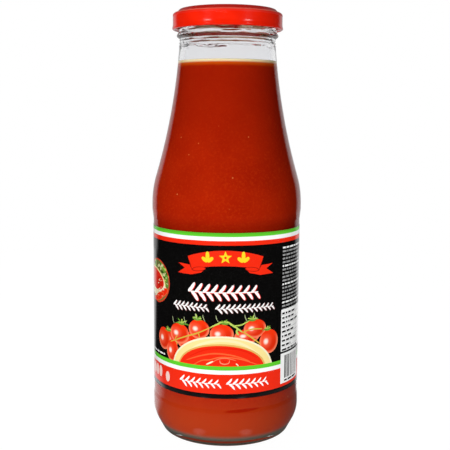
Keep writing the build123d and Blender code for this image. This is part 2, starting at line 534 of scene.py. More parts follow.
def coats(colour, layers):
    """Lays colours over the first one, each by its own amount from 0 to 1."""
    for amount, coat in layers:
        colour = amount.mix(colour, (*coat, 1))
    return colour


def clear_glass():
    material, start, place = new_material("clear_glass")
    slow, fine = place.noise(38.0, 1.0), place.noise(420.0, 2.0)
    seam = place.split()["Y"].math("ABSOLUTE").step(0.35 * mm, 0.1 * mm)
    height = slow * 0.6 + fine * 0.02 + seam * 0.1
    sockets = {
        "Base Color": (0.905, 0.908, 0.92, 1),
        "Roughness": fine.step(0.55, 0.8) * 0.03,
        "IOR": 1.5,
        "Transmission Weight": 1.0,
        "Normal": height.bump(0.35, 0.3 * mm),
    }
    ray = start.node("ShaderNodeLightPath")
    straight = (ray["Is Shadow Ray"] + ray["Is Diffuse Ray"]).math("MINIMUM", 1.0)
    clear = start.node("ShaderNodeBsdfTransparent", {"Color": (0.94, 0.95, 0.94, 1)})
    return finish(material, start, straight.choose(principled(start, sockets), clear))


glass_material = clear_glass()

# %% Turn the bottle and raise its relief
bottle = turn("bottle_glass", glass_outline, 336, glass_material)
thread_sizes = {
    "Threads": 4,
    "Thread height": cap_low.z + 3.05 * mm,
    "Thread stand": 1.1 * mm,
    "Thread climb": math.tan(math.radians(3.2)) * 2 * math.pi * finish_radius / 4,
    "Bars": 84,
    "Bar depth": 0.25 * mm,
    "Unevenness": 0.5 * mm,
    "Material": glass_material,
}
grow(bottle, relief, thread_sizes)
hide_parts("glass_bottle")
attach(bottle, "root")

# %% [markdown]
# ## The passata
# Tomato pulp fills the glass with no air between, so this piece reaches a third of a millimetre
# into the wall. It is thick, nearly opaque and full of fine pulp: light goes in a little way
# and comes out red. Where it meets the glass at the top it climbs, and there it is a thin film,
# pale and orange. A few small bubbles cling to the wall. Painted shade darkens its colour behind
# the upper ring and towards the neck, and a painted grey shade covers its floor under the thick
# foot. Painted reflected light makes it paler at the heel. It is also darker in one oval low at
# the front. A glossy coat of its own would be wrong, since glass, not air, lies on it.


# %% Passata material
def tomato_passata():
    material, start, place = new_material("tomato_passata")
    axes = place.split()
    height, level = axes["Z"], sauce_high.z
    pulp, clouds = place.noise(900.0, 3.0), place.noise(45.0, 3.0)
    flecks, bubbles = (
        start.node("ShaderNodeTexVoronoi", {"Vector": place, "Scale": scale}, out="Distance")
        for scale in (520.0, 120.0)
    )
    # Painted shade darkens it towards the neck, behind the upper ring and under the thick foot,
    # and painted light makes it paler at the heel.
    shoulder_shade = height.step(135 * mm, 180 * mm)
    ring_shade = height.band(100 * mm, 106 * mm, 110.5 * mm, 117 * mm)
    heel_light, foot = height.step(32 * mm, 12 * mm), height.step(7.4 * mm, 3.9 * mm)
    film = height.step(level - 3.2 * mm, level - 1.2 * mm)
    film_edge = height.step(level - 1.3 * mm, level - 0.1 * mm)
    # The darker oval low at the front reaches 10 mm to each side of its middle, tipped a little.
    side, up = axes["X"] / mm - 8.0, height / mm - 19.8
    up = up - side * 0.05
    low_dark_oval = (side * side / 100 + up * up / 1.3).step(1.0, 0.4) * axes["Y"].step(0, -mm)
    plain = clouds.step(0.3, 0.7).mix((0.40, 0.0125, 0.0012, 1), (0.47, 0.0175, 0.0016, 1))
    layers = (
        (pulp.step(0.45, 0.75) * 0.35, (0.62, 0.045, 0.004)),
        (flecks.step(0.16, 0.06) * 0.4, (0.30, 0.008, 0.001)),
        # Painted shade and light: darker to the neck and behind the ring, paler at the heel, grey
        # under the foot.
        (shoulder_shade * 0.7, (0.34, 0.0105, 0.0010)),
        (bubbles.step(0.055, 0.035) * 0.7, (0.80, 0.24, 0.08)),
        (ring_shade * 0.5, (0.24, 0.0080, 0.0006)),
        (heel_light, (0.47, 0.040, 0.0058)),
        (low_dark_oval * 0.9, (0.38, 0.010, 0.0012)),
        (foot, (0.13, 0.12, 0.09)),
        (film, (0.60, 0.075, 0.003)),
        (film_edge, (0.98, 0.76, 0.44)),
    )
    sockets = {
        "Base Color": coats(plain, layers),
        "Roughness": 0.45,
        "Specular IOR Level": 0.0,
        "Subsurface Weight": 0.2,
        "Subsurface Radius": (1.0, 0.2, 0.1),
        "Subsurface Scale": 2.5 * mm,
        "Normal": pulp.bump(0.25, 0.2 * mm),
    }
    return finish(material, start, principled(start, sockets))


passata_material = tomato_passata()


# %% Fill the bottle
def passata_outline():
    reach = 0.33 * mm
    inside = glass_inside(-reach)[::-1]
    level = sauce_high.z + 0.5 * mm
    trough = sauce_high.z - 1.1 * mm
    body = [point for point in inside if point[1] < level - 1.5 * mm]
    edge = body[-1][0] + (level - body[-1][1]) * -math.tan(lean_end * 1.2)
    surface = rounded([(edge, level, 0), (edge - 1.4 * mm, trough, 3), (0, trough, 0)])
    below = [(edge, level - 0.9 * mm), (edge, level - 0.1 * mm)]
    return body + below + surface


passata = turn("passata_fill", passata_outline(), 160, passata_material)
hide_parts("passata")
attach(passata, "root")

# %% [markdown]
# ## The steel cap
# A twist-off cap is pressed from lacquered tinplate: a raised ring over the glass rim, a sunk
# panel with a button that the vacuum pulls down, a smooth skirt and a rolled lower edge with
# four lugs that grip under the threads. The shell is turned on the same lathe, with the steel's
# thickness, and the lugs are one shape that a second tree repeats round the cap.

# %% Outline of the cap
steel = 0.3 * mm
skirt = (cap_high.x - cap_low.x) / 2
curl = 0.8 * mm


def cap_outline():
    top = cap_high.z
    panel, ledge = top - 1.2 * mm, top - 1.65 * mm
    ring_inside, ring_outside = bore + 0.4 * mm, finish_radius - 0.6 * mm
    shell = rounded([
        (0, panel - 0.5 * mm, 0),
        (9.5 * mm, panel - 0.5 * mm, 0.8),
        (11.3 * mm, panel, 0.8),
        (ring_inside - 0.7 * mm, panel, 0.5),
        (ring_inside, top, 0.5),
        (ring_outside, top, 0.6),
        (ring_outside + 1.7 * mm, ledge, 0.5),
        (skirt - 0.25 * mm, ledge - 0.25 * mm, 1.3),
        (skirt - 0.32 * mm, ledge - 2.0 * mm, 0),
        (skirt - 0.34 * mm, cap_low.z + 2.6 * mm, 4),
        (skirt - 0.11 * mm, cap_low.z + 1.22 * mm, 0),
    ], 4)
    # The curl goes 299 degrees round its own middle, from where the skirt meets it.
    middle = (skirt - curl, cap_low.z + curl)
    roll = [on_circle(middle, curl, math.radians(29 - 299 * i / 21)) for i in range(1, 21)]
    inside = parallel(shell, steel)[:-1][::-1]
    inside[-1] = (0, inside[-1][1])
    return shell + roll + inside


def lug_block(name):
    """One lug: a rounded block bent round the inside of the curl."""
    reach, height, arc = 1.35 * mm, 1.5 * mm, math.radians(17)
    root = skirt - 2 * curl + steel
    bottom = cap_low.z + steel
    shape = bmesh.new()
    bmesh.ops.create_grid(shape, x_segments=10, y_segments=1, size=0.5)
    lifted = bmesh.ops.extrude_face_region(shape, geom=shape.faces[:])
    for item in lifted["geom"]:
        if isinstance(item, bmesh.types.BMVert):
            item.co.z = 1
    rims = [edge for edge in shape.edges if edge.calc_face_angle(0) > 1]
    for vert in shape.verts:
        vert.co = Vector((vert.co.x * arc * root, (vert.co.y + 0.5) * reach, vert.co.z * height))
    bmesh.ops.bevel(shape, geom=rims, offset=0.3 * mm, segments=3, affect="EDGES", profile=0.5)
    for vert in shape.verts:
        angle, radius = vert.co.x / root, root - reach + vert.co.y
        vert.co = Vector((radius * math.cos(angle), radius * math.sin(angle), bottom + vert.co.z))
    return add_object(name, mesh_from(name, shape))


def round_tree():
    """Repeats a shape at equal steps round the axis."""
    start, given = new_tree("repeat round the axis", {"Count": "Int", "Material": "Material"})
    line = start.node("GeometryNodeMeshLine", {"Count": given["Count"], "Offset": (0, 0, 0)})
    turn_by = start.node("GeometryNodeInputIndex") * (2 * math.pi) / given["Count"]
    sockets = {"Points": line, "Instance": given, "Rotation": start.join(0, 0, turn_by)}
    copies = start.node("GeometryNodeInstanceOnPoints", sockets)
    smooth = start.node("GeometryNodeSetShadeSmooth", {"Geometry": copies})
    return close_tree(start, smooth, given["Material"])


print(f"cap {2 * skirt / mm:.1f} mm across, {(cap_high.z - cap_low.z) / mm:.1f} mm high")

# %% [markdown]
# ## Red lacquer
# Stoved lacquer on tinplate is a strong, even red with a soft gloss. Up close it has a slight
# orange-peel and hair-fine rub marks from the packing line. Painted shade darkens the red on the
# raised ring and over the top 4 mm of the cap, where the lacquer is also rougher, and the red is
# a little darker along the rolled lower edge.


# %% Lacquer material
def red_lacquer():
    material, start, place = new_material("red_lacquer")
    axes = place.split()
    radius, height = length(axes["X"], axes["Y"]), axes["Z"]
    foot, top = cap_low.z, cap_high.z
    peel, cloud = place.noise(1400.0, 1.0), place.noise(120.0, 3.0)
    rubs = place.noise(2600.0, 2.0)
    inside = radius.step(skirt - 0.44 * mm, skirt - 0.52 * mm)
    inside = inside * height.step(foot + 1.3 * mm, foot + 1.7 * mm)
    inside = inside * height.step(top - 2.0 * mm, top - 2.6 * mm)
    # Painted shade: the raised ring, which faces up, is much darker.
    ring = radius.step(finish_radius - 1.6 * mm, finish_radius - 0.9 * mm)
    ring = ring * height.step(top - 1.7 * mm, top - 1.2 * mm)
    # Painted shade: the top 4 mm of the cap are darker, and rougher too.
    top_shade = height.step(top - 4.0 * mm, top - 2.8 * mm)
    darker_red = (0.62, 0.008, 0.001)
    plain = cloud.step(0.35, 0.65).mix((0.775, 0.0115, 0.0004, 1), (0.835, 0.0140, 0.0006, 1))
    layers = (
        # A little darker along the rolled lower edge, then painted shade on the ring and the top.
        (height.step(foot + 1.1 * mm, foot + 0.3 * mm) * 0.35, darker_red),
        (ring * 0.8, (0.30, 0.006, 0.0005)),
        (inside, (0.78, 0.66, 0.42)),
        (top_shade * 0.35, darker_red),
    )
    sockets = {
        "Base Color": coats(plain, layers),
        "Roughness": cloud * 0.08 + rubs.step(0.62, 0.75) * 0.08 + top_shade * 0.3 + 0.13,
        "Specular IOR Level": 0.5,
        "Normal": (peel * 0.5 + cloud * 0.5).bump(0.12, 0.15 * mm),
    }
    return finish(material, start, principled(start, sockets))


lacquer_material = red_lacquer()

# %% Press the cap and its lugs
cap = turn("cap_shell", cap_outline(), 256, lacquer_material)
lugs = grow(lug_block("cap_lugs"), round_tree(), {"Count": 4, "Material": lacquer_material})
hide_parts("twist_off_cap")
for piece in (cap, lugs):
    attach(piece, "root")

# %% [markdown]
# ## The sealing ring
# The cap's channel holds a ring of soft, cream sealing compound that beds on the glass rim. The
# frame's own ring has the right shape, so it only gets a dull material.


# %% Sealing compound
def sealing_compound():
    material, start, place = new_material("sealing_compound")
    grain = place.noise(1500.0, 2.0)
    sockets = {
        "Base Color": grain.mix((0.70, 0.66, 0.55, 1), (0.82, 0.79, 0.70, 1)),
        "Roughness": grain * 0.2 + 0.5,
        "Normal": grain.bump(0.2, 0.05 * mm),
    }
    return finish(material, start, principled(start, sockets))


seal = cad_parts["cap_seal"]
seal.data.materials.clear()
seal.data.materials.append(sealing_compound())

# %% [markdown]
# ## The paper label
# The label is one long sheet, glued right round the bottle, with its far end lapped over the
# near end at the back. An image would blur up close and needs a file, and masks in a material
# would need hundreds of nodes. So the print is cut into the sheet itself: every printed shape
# is an outline in the flat, a constrained triangulation cuts the sheet along all of them, and
# each triangle takes the ink of the topmost shape over it. Then the sheet is wrapped.
#
# The print is a plain food-pack design with nothing readable on it: stripes, a ribbon with a
# star, leafy sprigs where words would be, tomatoes on the vine, a bowl of sauce and a dish.

# %% Inks and the sheet's size
paper = 0.12 * mm
overlap = 8.0
label_radius = panel_radius + label_stand
around = 2 * math.pi * label_radius / mm
tall = (label_high.z - label_low.z) / mm
half_sheet = (around + overlap) / 2

BLACK = (0.0022, 0.0020, 0.0019)
WHITE = (0.94, 0.94, 0.93)
GREEN = (0.115, 0.60, 0.028)
RED = (0.86, 0.023, 0.0045)
TOMATO = (0.86, 0.034, 0.003)
DARK_TOMATO = (0.84, 0.028, 0.003)
DEEP_RED = (0.42, 0.010, 0.003)
YELLOW = (0.88, 0.66, 0.02)
CREAM = (0.90, 0.74, 0.30)
PALE_CREAM = (0.90, 0.84, 0.58)
VINE = (0.46, 0.60, 0.11)
LEAF = (0.13, 0.30, 0.03)
TWIG = (0.62, 0.42, 0.05)
GREY = (0.34, 0.34, 0.34)
GREY_RED = (0.30, 0.13, 0.12)
PINK = (0.92, 0.62, 0.56)
shapes = []
print(f"sheet {2 * half_sheet:.1f} by {tall:.1f} mm for a way round of {around:.1f} mm")


# %% Shapes that the print is drawn with
def ink(outline, colour, centre=(0, 0), radii=(1, 1), depth=0.0):
    """Lays one closed outline, in mm from the front and the foot, over those before it."""
    outline = [(u, min(max(v, 0.0), tall)) for u, v in outline]
    area = sum(a[0] * b[1] - b[0] * a[1] for a, b in zip(outline, (*outline[1:], outline[0])))
    shapes.append((outline if area > 0 else outline[::-1], colour, centre, radii, depth))


def block(left, foot, right, head, colour):
    ink([(left, foot), (right, foot), (right, head), (left, head)], colour)


def oval(u, v, across, up, colour, depth=0.0, turn=0.0, steps=32):
    ring = [2 * math.pi * i / steps for i in range(steps)]
    flat = [(across * math.cos(a), up * math.sin(a)) for a in ring]
    cos, sin = math.cos(math.radians(turn)), math.sin(math.radians(turn))
    outline = [(u + x * cos - y * sin, v + x * sin + y * cos) for x, y in flat]
    ink(outline, colour, (u, v), (across, up), depth)


def smooth(points, steps=6):
    """A curve through the points."""
    ends = [points[0], *points, points[-1]]
    curve = []
    for four in zip(ends, ends[1:], ends[2:], ends[3:]):
        for t in (i / steps for i in range(steps)):
            weights = (
                -t**3 + 2 * t**2 - t,
                3 * t**3 - 5 * t**2 + 2,
                -3 * t**3 + 4 * t**2 + t,
                t**3 - t**2,
            )
            point = (sum(w * k[i] for w, k in zip(weights, four)) / 2 for i in (0, 1))
            curve.append(tuple(point))
    return curve + [points[-1]]


def stroke(points, wide, colour, tip=0.4, steps=5):
    """A brush stroke along the points, wide in the middle and tip times as wide at its ends."""
    curve = smooth(points, steps)
    sides = [], []
    for i, (x, y) in enumerate(curve):
        run = Vector(curve[min(i + 1, len(curve) - 1)]) - Vector(curve[max(i - 1, 0)])
        run.normalize()
        half = wide / 2 * (tip + (1 - tip) * math.sin(math.pi * i / (len(curve) - 1)) ** 0.5)
        sides[0].append((x - run.y * half, y + run.x * half))
        sides[1].append((x + run.y * half, y - run.x * half))
    ink(sides[0] + sides[1][::-1], colour)


def sprig(left, right, foot, height, pairs, colour, edge=None, arch=0.0, steps=3):
    """A laurel sprig lying where a line of words would be: a thin stem with pairs of leaves."""
    pitch = (right - left) / (pairs + 0.3)

    def rise(u):
        return foot + height / 2 + arch * (1 - ((2 * u - left - right) / (right - left)) ** 2)

    stem = [(u, rise(u)) for u in (left, (left + right) / 2, right - 0.4 * pitch)]
    paths = [(stem, 0.07 * height, 1.0)]
    for i in range(pairs):
        grow = 1.15 - 0.3 * i / pairs
        for side, start in ((1, 0.0), (-1, 0.45)):
            u = left + pitch * (i + start)
            steer = ((0, 0), (0.42, 0.2), (0.8, 0.54))
            leaf = [(u + x * grow * pitch, rise(u) + side * y * grow * height) for x, y in steer]
            paths.append((leaf, 0.205 * grow * height, 0.1))
    if edge:
        for path, wide, tip in paths:
            stroke([(u + 0.15, v - 0.12) for u, v in path], wide + 0.4, edge, 0.3, steps)
    for path, wide, tip in paths:
        stroke(path, wide, colour, tip, steps)


def small_print(left, right, foot, height, colour, chance, fill=1.0):
    """One line of words too small to read."""
    place, end = left, left + (right - left) * fill
    while place < end:
        word = min(chance.uniform(1.2, 4.5) * height, end - place)
        block(place, foot, place + word, foot + height, colour)
        place += word + height * 0.8


print("the print is made of blocks, ovals, strokes, sprigs and lines of small print")

# %% [markdown]
# The picture goes from back to front, as a painter would: the black ground, the tomatoes and
# their vine, the bowl, the dish, then the ribbon, the sprigs and the stripes that cut the bowl
# off, and the small print last.


# %% Tomatoes on the vine
def sepals(u, v, reach, chance):
    for i in range(7):
        angle = math.radians(chance.uniform(-12, 12) + (10, 35, 62, 90, 118, 146, 172)[i])
        long = reach * chance.uniform(0.8, 1.5)
        far = (u + long * math.cos(angle), v - 0.4 + 0.75 * long * math.sin(angle))
        path = [(u, v), ((u + far[0]) / 2, (v + far[1]) / 2 + 0.3), far]
        stroke(path, 0.62, (LEAF, VINE)[i % 2], 0.2, 3)
    stroke([(u - 1.8, v), (u, v - 0.3), (u + 1.8, v)], 0.9, LEAF, 0.3)


block(-half_sheet, 0, half_sheet, tall, BLACK)
chance = random.Random(4)
for colour, places in (
    (DARK_TOMATO, ((-30.5, 26.8, 4.6, 4.6), (-20.0, 28.0, 6.5, 4.6), (10.5, 31.4, 6.4, 3.6))),
    (TOMATO, (
        (-36.8, 26.3, 5.5, 5.7), (-29.8, 21.3, 4.3, 5.6), (-13.7, 34.6, 5.5, 4.8),
        (-25.0, 31.0, 6.1, 5.2), (-2.1, 32.6, 5.9, 4.9), (14.7, 35.0, 6.0, 4.7),
        (22.7, 27.6, 5.7, 6.1),
    )),
):
    for u, v, across, up in places:
        oval(u, v, across, up, colour, depth=1.0)
for twig, wide, colour in (
    ([(-31, 25.8), (-22, 29.6), (-14, 32.7), (-6.5, 36.4)], 0.7, TWIG),
    ([(-7.5, 36.0), (-0.8, 38.8), (3.5, 36.9), (8, 33.6)], 1.0, VINE),
    ([(8, 33.8), (13, 30.4), (17.5, 26.8)], 0.7, TWIG),
    ([(4.0, 36.9), (7.5, 37.2), (11.5, 39.2)], 0.7, VINE),
    ([(-25.8, 30.0), (-27.5, 28), (-26.2, 25)], 0.5, TWIG),
    ([(-14.0, 32.8), (-13.5, 31.5), (-13.4, 30.4)], 0.5, TWIG),
    ([(8.5, 33.6), (13, 34.8), (18.5, 34.4)], 0.7, TWIG),
    ([(5.8, 35.6), (5.2, 33.8), (6.2, 32.2)], 1.0, VINE),
):
    stroke(twig, wide, colour, 0.5)
for u, v, reach in (
    (-14.5, 39.4, 3.0), (-23.5, 36.1, 3.2), (-0.5, 38.0, 2.4),
    (13.2, 39.4, 3.0), (21.6, 33.8, 2.4), (-33.0, 31.2, 2.2),
):
    sepals(u, v, reach, chance)
for u, v in (
    (-15.6, 42.4), (-11.6, 42.0), (-5.0, 42.0), (14.0, 43.0),
    (9.2, 42.2), (-22.0, 40.0), (-29.6, 39.0),
):
    stroke([(u + 1.2, v - 3.4), (u + 0.3, v - 1.6), (u, v)], 0.4, (0.36, 0.42, 0.22), 0.2, 3)
print(len(shapes), "shapes with the tomatoes")

# %% The bowl of sauce
oval(-2.2, 14.1, 27.0, 17.5, PALE_CREAM, steps=64)
oval(-2.2, 13.7, 26.3, 17.0, CREAM, steps=64)
gold = (0.90, 0.80, 0.44)
stroke([(-22, 20), (-14, 26.4), (-3, 29.4), (8, 27.6), (18, 20.5)], 1.3, gold, 0.2)
oval(-2.4, 14.0, 23.2, 13.7, (0.76, 0.44, 0.11), steps=64)
oval(-2.5, 13.8, 22.5, 13.0, RED, steps=64)
for wide, tip, colour, *ripple in (
    (0.8, 0.3, (0.96, 0.12, 0.03),
     (-20.5, 18.2), (-13, 21.2), (-6, 22.8), (1, 22.4), (7, 20.8), (12, 18.6)),
    (0.6, 0.3, (0.96, 0.15, 0.04),
     (-16.5, 16.4), (-12, 19.0), (-8, 19.6), (-3, 21.0), (3, 20.8), (9, 19.4), (16, 16.6)),
    (0.9, 0.3, (0.80, 0.016, 0.003), (-19, 20.2), (-10, 24.6), (0, 25.6), (9, 24.0), (16, 20.0)),
    (0.45, 0.3, (0.96, 0.22, 0.10), (-7.0, 18.0), (-4, 20.0), (0, 20.6), (5, 19.4)),
    (0.5, 0.2, (0.96, 0.30, 0.16),
     (-3.0, 19.6), (-2.6, 18.2), (-0.6, 17.6), (1.4, 18.2), (1.8, 19.6)),
    (0.4, 0.3, (0.62, 0.012, 0.003), (-1.4, 19.4), (-0.4, 18.7), (0.6, 19.4)),
    (0.8, 0.2, PALE_CREAM, (-9.8, 17.1), (-8.2, 17.9), (-6.2, 19.0)),
    (0.6, 0.3, PALE_CREAM, (5.0, 17.8), (5.6, 17.3), (6.2, 16.6)),
):
    stroke(ripple, wide, colour, tip)
print(len(shapes), "shapes with the bowl")

# %% The dish: a round picture of a plate of food, in the print's own simple shapes
chance = random.Random(2)
u, v, wide, high = -43.8, 55.0, 12.1, 11.3
oval(u, v, wide, high, (0.66, 0.05, 0.015), steps=48)
oval(u, v, wide - 0.7, high - 0.7, (0.16, 0.17, 0.04), steps=48)
shade = (0.03, 0.09, 0.01)
greens = (LEAF, VINE, (0.24, 0.46, 0.05), shade, (0.62, 0.62, 0.30), shade)
for _ in range(44):
    angle = math.radians(chance.uniform(-25, 165))
    reach = chance.uniform(0.58, 0.88)
    x, y = u + wide * reach * math.cos(angle), v + high * reach * math.sin(angle)
    run = chance.uniform(0, math.pi)
    x_end, y_end = 1.5 * math.cos(run), 1.1 * math.sin(run)
    path = [(x - x_end, y - y_end), (x + 0.3, y), (x + x_end, y + y_end)]
    stroke(path, 1.3, chance.choice(greens), 0.1, 3)
oval(u - 3.2, v - 0.9, wide * 0.98, high * 0.66, CREAM, turn=-10, steps=48)
oval(u - 3.4, v - 1.3, wide * 0.95, high * 0.61, PALE_CREAM, turn=-10, steps=48)
oval(u - 3.6, v + 0.6, wide * 0.88, high * 0.46, (0.80, 0.022, 0.008), turn=-10, steps=40)
oval(u + 2.6, v - 0.4, wide * 0.26, high * 0.27, (0.62, 0.014, 0.004), turn=-20)
leaves = ((7.0, -5.2, 4.0, 1.9, 32), (2.2, -7.8, 5.2, 2.0, 22), (-2.6, -9.6, 4.2, 1.2, 5))
for x, y, across, up, tilt in leaves:
    oval(u + x, v + y, across, up, (0.90, 0.10, 0.03), turn=tilt, steps=24)
    oval(u + x, v + y, across - 0.5, up - 0.5, RED, turn=tilt, steps=24)
for _ in range(16):
    x, y = u + chance.uniform(0, 9), v + chance.uniform(-8, 1)
    crumb = chance.choice((PALE_CREAM, (0.9, 0.35, 0.2)))
    stroke([(x - 0.8, y), (x, y + 0.25), (x + 0.8, y + 0.3)], 0.5, crumb, 0.2, 2)
print(len(shapes), "shapes with the dish")

# %% The ribbon: swallow tails, an arched middle, two sprigs and a star
u, v = -0.5, 64.0
tail = (
    (24.8, 2.8), (18.2, 2.3), (17, 0), (9.5, 1.3),
    (12, -1.2), (17.5, -2.5), (25.2, -2.2), (21, 0.5),
)
for side in (-1, 1):
    ink([(u + side * x, v + y) for x, y in tail], RED)
steps = [i / 12 for i in range(-12, 13)]
upper = [(u + 19.2 * s, v + 6.5 + 3.4 * (1 - s * s)) for s in steps]
lower = [(u + 16.9 * s, v - 0.6 + 2.9 * (1 - s * s) ** 0.6) for s in steps]
ink(upper + lower[::-1], RED)
for side in (-1, 1):
    oval(u + side * 13.4, v + 0.5, 3.7, 1.15, DEEP_RED, turn=side * -7)
    oval(u + side * 13.2, v + 0.55, 3.2, 0.8, RED, turn=side * -7)
    fold = [(u + side * x, v + y) for x, y in ((16.9, -0.3), (17.6, 2.2), (18.4, 4.2))]
    stroke(fold, 0.35, DEEP_RED)
    middle, rise = u + side * 8.8, v + 4.2
    for tilt, long in ((-52, 2.0), (0, 2.9), (52, 2.0)):
        x, y = long * math.sin(math.radians(tilt)), long * math.cos(math.radians(tilt))
        leaf = [(middle + x * far, rise + y * far) for far in (0, 0.9, 1.8)]
        stroke(leaf, 1.9, YELLOW, 0.1)
star = [(1.4 if i % 2 else 3.3, math.radians(90 + 36 * i)) for i in range(10)]
ink([(u + r * math.cos(a), v + 6.4 + r * math.sin(a)) for r, a in star], YELLOW)
oval(u, v + 6.4, 0.6, 0.6, RED, steps=12)
print(len(shapes), "shapes with the ribbon")

# %% Sprigs, stripes and ovals
sprig(-19.6, 17.6, 49.6, 7.2, 9, WHITE, RED, steps=4)
sprig(-28.8, -8.2, 43.4, 3.9, 8, WHITE, GREY_RED, arch=0.2)
sprig(-5.4, 26.2, 43.2, 3.9, 12, WHITE, GREY_RED, arch=0.3)
for foot, head, colour in (
    (0.0, 2.4, BLACK), (2.4, 12.3, RED), (12.3, 14.4, WHITE), (14.4, 16.4, GREEN),
    (76.3, 78.5, RED), (78.5, 80.5, WHITE), (80.5, tall, GREEN),
):
    block(-half_sheet, foot, half_sheet, head, colour)
sprig(-24.6, -1.8, 5.2, 4.6, 7, WHITE)
sprig(0.2, 23.0, 5.2, 4.6, 7, WHITE)
for u, v, up in ((-48.7, 8.2, 3.0), (-44.6, 8.2, 3.0), (-40.5, 8.2, 3.0), (-33.6, 7.0, 2.7)):
    oval(u, v, 1.7, up, PINK)
print(len(shapes), "shapes with the stripes")

# %% Small print: lines on black, a white table, a striped code and the back
left, wide, chance = 30.8, 40.0, random.Random(11)
right = left + wide
for i in range(18):
    foot, fill = 75.0 - 1.85 * (i + 1), 0.55 if i % 6 == 5 else 1
    small_print(left + 0.6, right, foot, 0.85, GREY if i % 5 else WHITE, chance, fill)
block(left, 20.6, right, 42.2, WHITE)
for i in range(9):
    foot = 40.0 - 2.35 * i
    for start, end, colour, least in (
        (left + 0.8, left + wide * 0.55, BLACK, 0.3),
        (left + wide * 0.7, right - 1, GREY, 0.4),
    ):
        small_print(start, end, foot - 0.35, 0.95, colour, chance, chance.uniform(least, 0.9))
    block(left + 0.5, foot - 0.85, right - 0.5, foot - 0.70, GREY)
block(left, 3.9, left + 19.5, 19.5, WHITE)
place, end = left + 3.2, left + 16.5
while place < end:
    bar = chance.choice((0.33, 0.33, 0.66, 0.99))
    block(place, 6.4, place + bar, 18.2, (0.02, 0.02, 0.02))
    place += bar + chance.choice((0.33, 0.66, 0.66, 0.99))
small_print(left + 3.2, end, 4.7, 0.9, BLACK, chance)
small_print(-52, -36, 17.6, 0.8, WHITE, random.Random(5))
for row in range(14):
    fill = 0.6 if row % 4 == 3 else 1
    small_print(-104, -66, 72 - 2.6 * row, 1.1, GREY, random.Random(row), fill)
for place in (-100, -90, -80, -70):
    oval(place, 27, 3.4, 3.4, GREEN, steps=24)
    oval(place, 27, 2.7, 2.7, BLACK, steps=24)
print(len(shapes), "printed shapes in all")


# %% Cut the sheet along the print
def cut_sheet():
    """Flat corners, triangles and, for each triangle, its topmost shape.

    Upright cuts at even steps let the sheet bend smoothly where nothing is printed.
    """
    corners, lines, faces = [], [], []
    for outline, *_ in shapes:
        first = len(corners)
        corners += [Vector(point) for point in outline]
        faces.append(list(range(first, len(corners))))
    bend_every = 1.35
    columns = round(around / bend_every)
    for i in range(1, columns):
        u = -half_sheet + 2 * half_sheet * i / columns
        lines.append((len(corners), len(corners) + 1))
        corners += [Vector((u, 0)), Vector((u, tall))]
    cut = delaunay_2d_cdt(corners, lines, faces, 1, 1e-5, True)
    points, triangles, owners = cut[0], cut[2], cut[5]
    kept = [(face, max(own)) for face, own in zip(triangles, owners) if own]
    return points, [face for face, _ in kept], [top for _, top in kept]


def wrap(u, v, depth):
    """A point of the flat sheet on the bottle, depth below the printed side."""
    lap, climb, clearance = half_sheet - overlap, 2.0, 0.01 * mm
    lift = min(max((u - lap + climb) / climb, 0), 1)
    radius = label_radius - depth + lift * (paper + clearance)
    angle = u * mm / label_radius
    return (radius * math.sin(angle), -radius * math.cos(angle), label_low.z + v * mm)


def wrap_label(material):
    points, triangles, owners = cut_sheet()
    count = len(points)
    verts = [wrap(*point, 0) for point in points] + [wrap(*point, paper) for point in points]
    back = [tuple(i + count for i in reversed(face)) for face in triangles]
    uses = {}
    for face in triangles:
        for a, b in zip(face, (*face[1:], face[0])):
            uses[(a, b)] = (b, a)
    rim_edges = [edge for edge, twin in uses.items() if twin not in uses]
    sides = [(b, a, a + count, b + count) for a, b in rim_edges]
    front = [tuple(face) for face in triangles]
    piece = new_piece("printed_label", verts, [], front + back + sides)
    mesh = piece.data
    tint = mesh.attributes.new("ink", "FLOAT_COLOR", "CORNER")
    place = mesh.attributes.new("ink_place", "FLOAT_VECTOR", "CORNER")
    for face, top in zip(mesh.polygons, owners + [None] * (len(back) + len(sides))):
        for corner in face.loop_indices:
            if top is None:
                tint.data[corner].color = (*WHITE, 1)
                continue
            _, colour, centre, radii, depth = shapes[top]
            u, v = points[mesh.loops[corner].vertex_index]
            tint.data[corner].color = (*colour, 1)
            across, up = (u - centre[0]) / radii[0], (v - centre[1]) / radii[1]
            place.data[corner].vector = (across, up, depth)
    mesh.materials.append(material)
    for face in mesh.polygons:
        face.use_smooth = face.index < len(front) + len(back)
    total = 2 * (len(front) + len(sides))
    print(f"label: {total} triangles, {len(rim_edges)} edges round the sheet")
    return piece


# %% [markdown]
# ## Varnished print
# The ink colour comes from each corner of the cut mesh. A second attribute says where a corner
# lies inside its own shape, which is enough to model a tomato in the material: darker at the
# lower right, paler along its lower outline and with a soft pink glint at the left. Over it goes
# a clear varnish on slightly fibrous paper.


